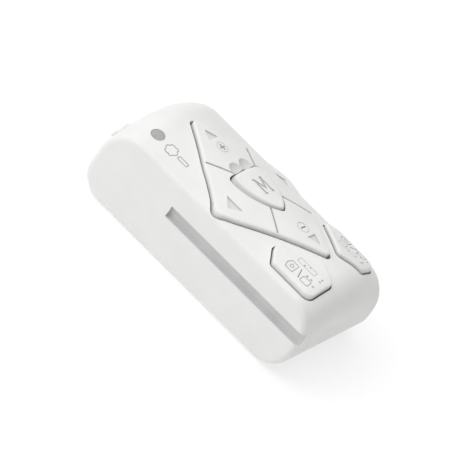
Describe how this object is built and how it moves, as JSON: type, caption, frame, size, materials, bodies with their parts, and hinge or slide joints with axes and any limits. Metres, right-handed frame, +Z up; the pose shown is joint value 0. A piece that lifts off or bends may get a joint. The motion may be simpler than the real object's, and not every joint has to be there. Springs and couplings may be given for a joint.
{
  "type": "bluetooth remote control",
  "caption": "Small hand-held wireless remote with a crowned top, a rocking rhombus pad round a shield-shaped mode key, two function keys, a power key and a side rail groove.",
  "frame": {"origin": "on the underside, under the middle of the body", "axes": "+X to the right seen from above with the near end at the bottom, +Y to the far end, +Z up"},
  "size_m": [0.033, 0.0605, 0.0216],
  "materials": {
    "shell_white": "fine matt texture",
    "key_white": "satin",
    "lens_smoke": "smoked, polished",
    "carrier_grey": "matt",
    "ring_natural": "natural, low friction",
    "silicone": "translucent, matt",
    "board_green": "solder mask",
    "switch_dark": "moulded",
    "chip_black": "moulded",
    "shield_tin": "tinned",
    "lamp_clear": "clear cap",
    "port_steel": "bright",
    "screw_steel": "zinc plated",
    "cell_foil": "laminated foil",
    "foam_black": "open cell foam",
    "header_cream": "moulded",
    "wire_red": "insulation"
  },
  "bodies": {
    "body": {"housing": "shell_white", "bottom_cover": "shell_white", "cover_screws": "screw_steel", "indicator_lens": "lens_smoke", "key_frame": "carrier_grey", "key_membrane": "silicone", "circuit_board": "board_green", "pad_switches": "switch_dark", "mode_switch": "switch_dark", "function_switches": "switch_dark", "power_switch": "switch_dark", "indicator_led": "lamp_clear", "radio_module": "shield_tin", "board_components": "chip_black", "charge_port": "port_steel", "battery": "cell_foil", "battery_pad": "foam_black", "battery_connector": "header_cream", "battery_lead": "wire_red"},
    "tilt_ring": {"pivot_ring": "ring_natural"},
    "pad": {"direction_pad": "key_white"},
    "mode": {"mode_key": "key_white"},
    "left_key": {"left_function_key": "key_white"},
    "right_key": {"right_function_key": "key_white"},
    "power": {"power_key": "key_white"}
  },
  "joints": [
    {"name": "pad_tilt_long", "type": "hinge", "parent": "body", "child": "tilt_ring", "pos_m": [0, 0.0007, 0.0153], "axis": [1, 0, 0], "range_deg": [-1.5, 1.5], "stiffness_Nm_per_rad": 0.6},
    {"name": "pad_tilt_cross", "type": "hinge", "parent": "tilt_ring", "child": "pad", "pos_m": [0, 0.0007, 0.0153], "axis": [0, 1, 0], "range_deg": [-1.5, 1.5], "stiffness_Nm_per_rad": 0.6},
    {"name": "mode_press", "type": "slide", "parent": "body", "child": "mode", "axis": [0, 0, -1], "range_m": [0, 0.0004], "stiffness_N_per_m": 900, "springref_m": -0.00015},
    {"name": "left_key_press", "type": "slide", "parent": "body", "child": "left_key", "axis": [0, 0, -1], "range_m": [0, 0.0004], "stiffness_N_per_m": 900, "springref_m": -0.00015},
    {"name": "right_key_press", "type": "slide", "parent": "body", "child": "right_key", "axis": [0, 0, -1], "range_m": [0, 0.0004], "stiffness_N_per_m": 900, "springref_m": -0.00015},
    {"name": "power_press", "type": "slide", "parent": "body", "child": "power", "axis": [0, -1, 0], "range_m": [0, 0.00035], "stiffness_N_per_m": 900, "springref_m": -0.00015}
  ]
}
